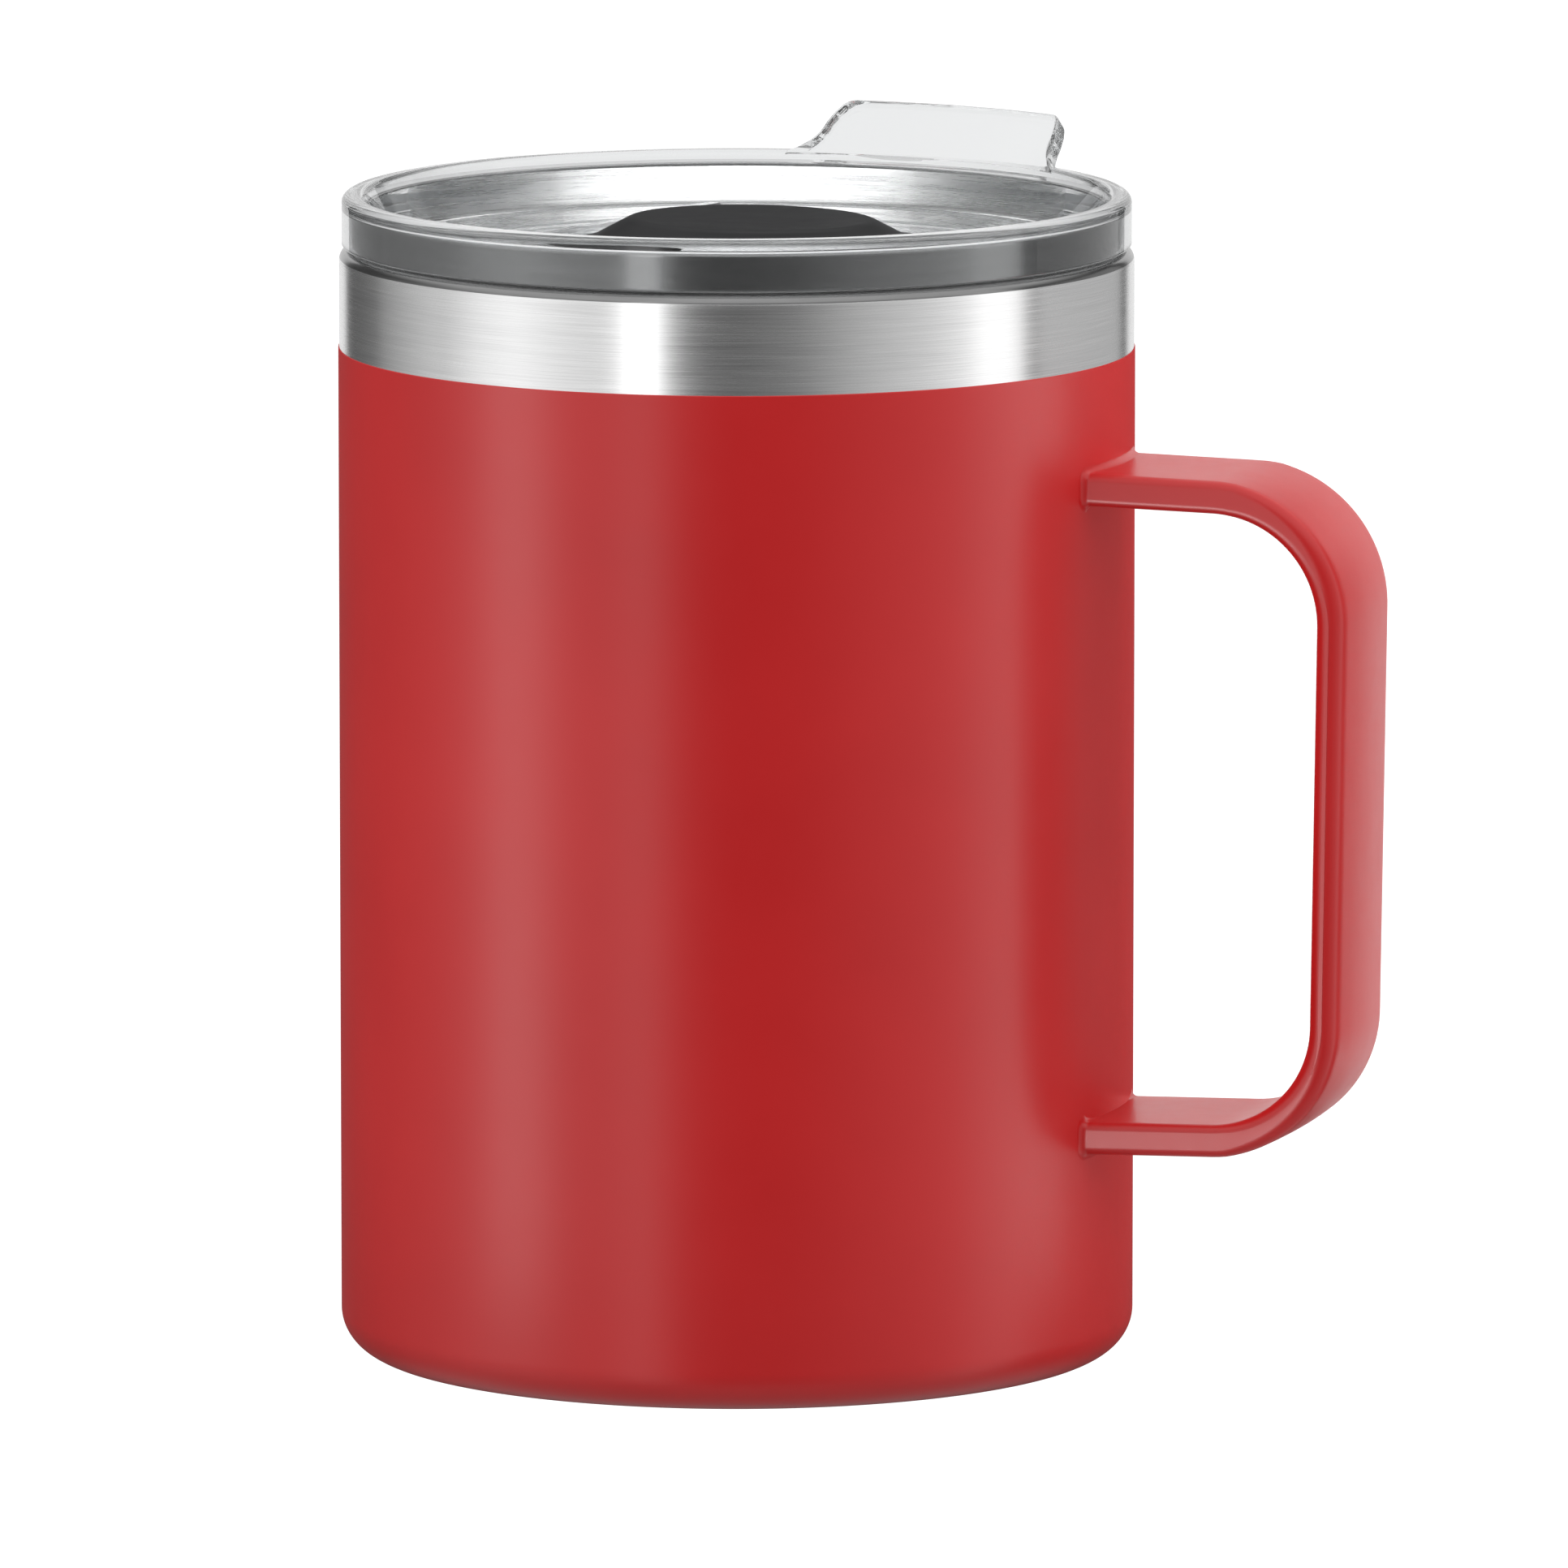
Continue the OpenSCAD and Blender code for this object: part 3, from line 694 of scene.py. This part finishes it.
def lid_profile():
    """Skirt, rim, dish, floor and plug, with moulded edges."""
    wall_turn = 180 - math.degrees(math.atan2(dish_top_r - dish_r, rim_z - ring_z))
    points = arc((skirt_in + 0.25, skirt_low + 0.25), 0.25, 180, 270, 4)
    points += arc((skirt_r - 0.25, skirt_low + 0.25), 0.25, 270, 360, 4)
    points += arc((skirt_r - RIM_EDGE, rim_z - RIM_EDGE), RIM_EDGE, 0, 90, 10)
    points += arc((dish_top_r + RIM_EDGE, rim_z - RIM_EDGE), RIM_EDGE, 90, wall_turn, 7)
    points += arc((dish_r - 0.62, ring_z + 0.95), 0.95, wall_turn - 180, -90, 6)
    points += arc((floor_r + 0.95, ring_z - 0.3), 0.3, 90, 150, 4)
    points += arc((floor_r + 0.15, floor_z + 0.5), 0.5, -30, -90, 4)
    points += [(0, floor_z), (0, floor_under)]
    points += arc((plug_in - 1, floor_under - 1), 1, 90, 0, 6)
    points += arc((plug_in + 0.35, plug_z + 0.35), 0.35, 180, 270, 4)
    points += arc((plug_r - 0.9, plug_z + 0.6), 0.6, 270, 360, 6)
    points += [(plug_r - 0.3, gasket_low), (groove_r, gasket_low), (groove_r, gasket_high)]
    points += arc((plug_r - 0.2, gasket_high + 0.2), 0.2, 270, 360, 3)
    points += arc((plug_r + 0.3, flange_z - 0.3), 0.3, 180, 90, 4)
    points += arc((skirt_in - 0.3, flange_z - 0.3), 0.3, 90, 0, 4)
    return points


def tab_half_width(z):
    """Half the tab's width at a height: a fillet at its foot, straight sides, round corners at its tip."""
    rise = z - rim_z
    tip = TAB_L * math.sin(math.radians(TAB_LEAN)) + 0.47
    if rise < TAB_FILLET:
        drop = TAB_FILLET - max(rise, 0.0)
        return TAB_HALF_FOOT + TAB_FILLET - math.sqrt(TAB_FILLET ** 2 - drop ** 2)
    half = TAB_HALF_FOOT + (TAB_HALF_TIP - TAB_HALF_FOOT) * (rise - TAB_FILLET) / (tip - TAB_FILLET)
    over = max(0.0, rise - (tip - TAB_CORNER))
    return half - TAB_CORNER + math.sqrt(max(0.0, TAB_CORNER ** 2 - over ** 2))


def make_tab():
    """The leaning thumb tab, as a solid whose foot is inside the rim."""
    edge = 0.55               # rounding of the tab's edges
    foot = Vector((skirt_r - RIM_EDGE + 0.3, rim_z))
    slope, normal = along(TAB_LEAN, 1), along(TAB_LEAN + 90, 1)
    quarter = [math.radians(15 * i) for i in range(7)]
    tip_edge = 1.0
    root = 1.1                # how far the tab's middle runs on into the rim
    root_skew = 0.5           # how much further its upper face does, and its lower face less
    # Each station: distance along the slope, how much each face is drawn in, and the faces' skew.
    stations = [(0.25 * i - root, 0.0, root_skew * max(0.0, 1 - i / 4)) for i in range(23)]
    stations += [(TAB_L - tip_edge + tip_edge * math.sin(a), tip_edge * (1 - math.cos(a)), 0.0)
                 for a in quarter]
    rings = []
    for distance, thinner, skew in stations:
        middle = foot + slope * distance
        half_t = TAB_T / 2 - thinner
        half_w = tab_half_width(middle.y + 0.5)
        spread = [((half_w - edge) * share, 0.0) for share in (0, 0.12, 0.3, 0.5, 0.7, 0.85, 0.94)]
        spread += [(half_w - edge + edge * math.sin(a), edge * (1 - math.cos(a))) for a in quarter]
        spread = [(-across, inset) for across, inset in reversed(spread[1:])] + spread
        front, back = [], []
        for across, inset in spread:
            for side, row in ((1, front), (-1, back)):
                radius, z = middle + normal * side * max(half_t - inset, 0.05) - slope * side * skew
                turn = math.asin(across / radius)
                row.append((radius * math.cos(turn), radius * math.sin(turn), z))
        rings.append(front + back[::-1])
    return lofted("tab", rings)


def slot_outline(centre_u, length, width, steps=20):
    """A slot with round ends: long across the slider's travel, as (u, w) points."""
    reach = (length - width) / 2
    top = arc((centre_u, reach), width / 2, 0, 180, steps)
    return top + arc((centre_u, -reach), width / 2, 180, 360, steps)


def rounded_outline(low_u, high_u, width, corner, steps=10):
    """A rectangle with round corners, as (u, w) points."""
    half = width / 2 - corner
    points = []
    for u, w, start in ((high_u - corner, half, 0), (low_u + corner, half, 90),
                        (low_u + corner, -half, 180), (high_u - corner, -half, 270)):
        points += arc((u, w), corner, start, start + 90, steps)
    return points


def shrunk(outline, amount):
    """The outline moved inwards along its own normals."""
    count = len(outline)
    result = []
    for i, point in enumerate(outline):
        ahead, behind = outline[(i + 1) % count], outline[i - 1]
        tangent = (ahead - behind).normalized()
        result.append(point + Vector((-tangent.y, tangent.x)) * amount)
    return result


def prism(name, outline, low, high, edge=0.0, steps=4):
    """A straight solid between two heights, with its top and bottom edges rounded."""
    levels = [(low, 0.0), (high, 0.0)]
    if edge:
        turn = [math.pi / 2 * i / steps for i in range(steps + 1)]
        levels = [(low + edge * (1 - math.sin(a)), edge * (1 - math.cos(a))) for a in reversed(turn)]
        levels += [(high - edge * (1 - math.sin(a)), edge * (1 - math.cos(a))) for a in turn]
    rings = []
    for z, inset in levels:
        rings.append([(p.x, p.y, z) for p in (shrunk(outline, inset) if inset else outline)])
    return lofted(name, rings)


def make_rail(side):
    """One of the two rails that hold the slider's plate down."""
    low, high = plate_top + 0.2, plate_top + 0.8
    section = [(RAIL_Y, floor_z - 0.5), (RAIL_Y + 1.2, floor_z - 0.5), (RAIL_Y + 1.2, high - 0.2),
               (RAIL_Y + 1.0, high), (RAIL_Y - 0.4, high), (RAIL_Y - 0.6, high - 0.2),
               (RAIL_Y - 0.6, low), (RAIL_Y, low)]
    rings = [[(u, side * w, z) for w, z in section] for u in (RAIL_START, RAIL_END)]
    return lofted("rail", rings)


def make_lid():
    """The clear moulding."""
    lid = turned("lid", lid_profile(), weighted=False)
    lid = merged(lid, [make_tab(), make_rail(1), make_rail(-1)], "UNION")
    hole = prism("hole", slot_outline(HOLE_U, HOLE_L, HOLE_W), floor_under - 1, floor_z + 1)
    vent = prism("vent", arc(VENT_PLACE, VENT_R, 0, 345, 23), floor_under - 1, floor_z + 1)
    lid = merged(lid, [hole, vent], "DIFFERENCE")
    lid.data.transform(Matrix.Rotation(TAB_TURN, 4, "Z"))
    return smooth(lid, 40)


def make_gasket():
    """Silicone ring with two fins."""
    skin = plug_r - 0.2
    profile = [(groove_r, gasket_low), (skin, gasket_low)]
    for z in (gasket_low + 0.5, gasket_low + 1.8):
        profile += [(skin, z), (gasket_r - 0.2, z + 0.33)]
        profile += arc((gasket_r - 0.13, z + 0.57), 0.13, -70, 90, 5)
        profile += [(skin, z + 0.65)]
    profile += [(skin, gasket_high), (groove_r, gasket_high)]
    return turned("gasket", profile)


# --------------------------------------------------------------------------- slider

GRIP_U = 3
GRIP_HALF_L = 18.6
GRIP_HALF_W = 17
GRIP_H = 2.7
FLANK = 28                # slope of the grip's side, in degrees
CROWN_R = 2.6
CROWN_HOLLOW = 0.18       # depth of the crown's hollow
PLATE_W = 38.6
PLATE_CORNER = 12
TONGUE_END = -32
TONGUE_W = 21
TONGUE_CORNER = 5
TONGUE_T = 1.3
SLIDER_EDGE = 0.3         # rounding of the plate's and the tongue's edges
SEAL_MARGIN = 1.2         # reach of the seal's pocket past the drink hole
SEAL_POCKET = 0.8         # depth of that pocket
plate_z = floor_z + 0.3
plate_top = plate_z + 1


def make_grip():
    """The raised oval: a sloped flank that rounds into a slightly hollow crown."""
    rise = CROWN_R * (1 - math.cos(math.radians(FLANK)))
    flank_h = GRIP_H - rise
    flank_in = flank_h / math.tan(math.radians(FLANK))
    levels = [(0, -0.5), (0, 0.0), (flank_in * 0.33, flank_h * 0.33), (flank_in * 0.66, flank_h * 0.66)]
    for i in range(11):
        turn = math.radians(FLANK * (1 - i / 10))
        levels.append((flank_in + CROWN_R * (math.sin(math.radians(FLANK)) - math.sin(turn)),
                       flank_h + CROWN_R * (math.cos(turn) - math.cos(math.radians(FLANK)))))
    crown_in, crown_h = levels[-1]
    for step in range(1, 9):
        share = step / 9
        levels.append((crown_in + (GRIP_HALF_W - crown_in) * share,
                       crown_h - CROWN_HOLLOW * math.sin(share * math.pi / 2)))
    steps = 128
    rings = []
    for inset, height in levels:
        ring = []
        for i in range(steps):
            angle = 2 * math.pi * i / steps
            u = GRIP_U + (GRIP_HALF_W - inset) * math.cos(angle)
            w = (GRIP_HALF_L - inset) * math.sin(angle)
            ring.append((u, w, plate_top + height))
        rings.append(ring)
    return lofted("grip", rings)


def make_slider():
    """Grip, plate and tongue in one moulding."""
    outline = rounded_outline(GRIP_U - GRIP_HALF_W, GRIP_U + GRIP_HALF_W, PLATE_W, PLATE_CORNER, 16)
    plate = prism("slider_top", outline, plate_z, plate_top, SLIDER_EDGE)
    outline = rounded_outline(TONGUE_END, GRIP_U, TONGUE_W, TONGUE_CORNER)
    tongue = prism("tongue", outline, plate_z, plate_z + TONGUE_T, SLIDER_EDGE)
    slider = merged(plate, [tongue, make_grip()], "UNION")
    outline = slot_outline(HOLE_U, HOLE_L + 2 * SEAL_MARGIN, HOLE_W + 2 * SEAL_MARGIN)
    pocket = prism("pocket", outline, plate_z - 1, plate_z + SEAL_POCKET)
    slider = merged(slider, [pocket], "DIFFERENCE")
    slider.data.transform(Matrix.Rotation(TAB_TURN, 4, "Z"))
    return smooth(slider, 30)


# --------------------------------------------------------------------------- scene

def dress(obj, *mats):
    """Gives the piece its materials, in the order of its faces' slots."""
    slots = [face.material_index for face in obj.data.polygons]
    obj.data.materials.clear()
    for mat in mats:
        obj.data.materials.append(mat)
    obj.data.polygons.foreach_set("material_index", [min(slot, len(mats) - 1) for slot in slots])
    return obj


scene = bpy.context.scene
scene.view_settings.view_transform = "Standard"
scene.cycles.max_bounces = 24
scene.cycles.glossy_bounces = 12
scene.cycles.transmission_bounces = 20
make_camera()
make_world()
floor = make_floor()

band_steel = brushed_steel("band_steel", 0.86, 0.24)
# painted shade: the neck's steel is a dark copy of the band's, standing for the light lost under the clear
# lid
neck_steel_painted_shade = brushed_steel("neck_steel_painted_shade", 0.22, 0.2, anisotropy=0.3, streaks=1500, bump_mm=0.002)
liner_steel = brushed_steel("liner_steel", 0.58, 0.27, anisotropy=0.4, streaks=5000)
# painted shade: the polished lip bead is given a dark steel colour, standing for the shade under the clear
# lid
polished_steel = brushed_steel("polished_steel", 0.3, 0.14, anisotropy=0.2, streaks=3000)
spun_steel = brushed_steel("spun_steel", 0.6, 0.3, anisotropy=0.5, streaks=3000)
red_coat = powder_coat("red_powder_coat")
clear = clear_plastic("clear_lid_plastic")
black = black_plastic("black_slider_plastic")
gasket_silicone = silicone("gasket_silicone", (0.8, 0.82, 0.83), 0.4)
seal_silicone = silicone("seal_silicone", (0.12, 0.12, 0.125), 0.0)
copper = raw_metal("copper_foil", (0.72, 0.33, 0.2), 0.25, 200.0)
getter_metal = raw_metal("getter_metal", (0.2, 0.2, 0.21), 0.6, 1500.0)
pan_steel = raw_metal("pan_steel", (0.55, 0.55, 0.56), 0.35, 300.0)
bead_glass = sealing_glass("sealing_glass")

shell = place(dress(make_shell(), band_steel, neck_steel_painted_shade), "cup", "brushed_steel", "outer_shell")
coat = place(dress(make_coat(), red_coat), "cup", "red_powder_coat", "powder_coat")
liner = place(dress(make_liner(), liner_steel), "cup", "satin_steel", "liner_wall", "liner_bottom")
lip = place(dress(make_lip(), polished_steel), "cup", "polished_steel", "lip_weld")
place(dress(make_base_disc(), spun_steel), "cup", "spun_steel", "base_disc")
handle = place(dress(make_handle(), red_coat), "cup", "red_powder_coat",
               "handle_outer_half", "handle_inner_half", "upper_weld", "lower_weld")
lid = place(dress(make_lid(), clear), "lid", "clear_plastic", "lid_body")
place(dress(make_gasket(), gasket_silicone), "lid", "clear_silicone", "lid_gasket")
place(dress(make_slider(), black), "slider", "black_plastic", "slider")

for node, mat in (("reflective_foil", copper), ("base_pan", pan_steel), ("getter", getter_metal),
                  ("getter_clip", pan_steel), ("evacuation_plug", bead_glass),
                  ("slider_seal", seal_silicone)):
    dress(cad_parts[node], mat)

# The panels' numbers are turn, width, low, high and brightness.
coated = [coat, handle]
bare = [shell, lip, lid]
side_panel("steel_side", 122, 50, -0.6, 0.7, 0.36, bare)
side_panel("steel_left", -110, 30, -0.6, 0.7, 0.12, bare)
side_panel("steel_back", 180, 50, -0.6, 0.7, 0.8, bare)
side_panel("mouth_front", 0, 120, -0.35, 0.1, 27.0, [liner])
side_panel("strip_left", -66, 20, -0.6, 0.7, 1.5, [coat], diffuse=False)
side_panel("strip_right", 98, 18, -0.6, 0.7, 1.2, [coat], diffuse=False)
side_panel("fill_right", 120, 70, -0.6, 0.9, 2.2, [coat], gloss=False)
side_panel("fill_back", 180, 40, -0.6, 0.9, 0.5, coated, gloss=False)
side_panel("fill_left", -150, 50, -0.6, 0.9, 0.8, coated, gloss=False)
side_panel("handle_fill", 125, 70, -0.6, 0.9, 1.4, [handle], gloss=False)
side_panel("handle_back", 164, 56, -0.6, 0.7, 0.85, [handle], diffuse=False)
add_panel("handle_low", (0.005, -0.15, 0.001), (0.005, -0.15, 1), (0.12, 0.12), 6.0, [handle],
          gloss=True, diffuse=False)
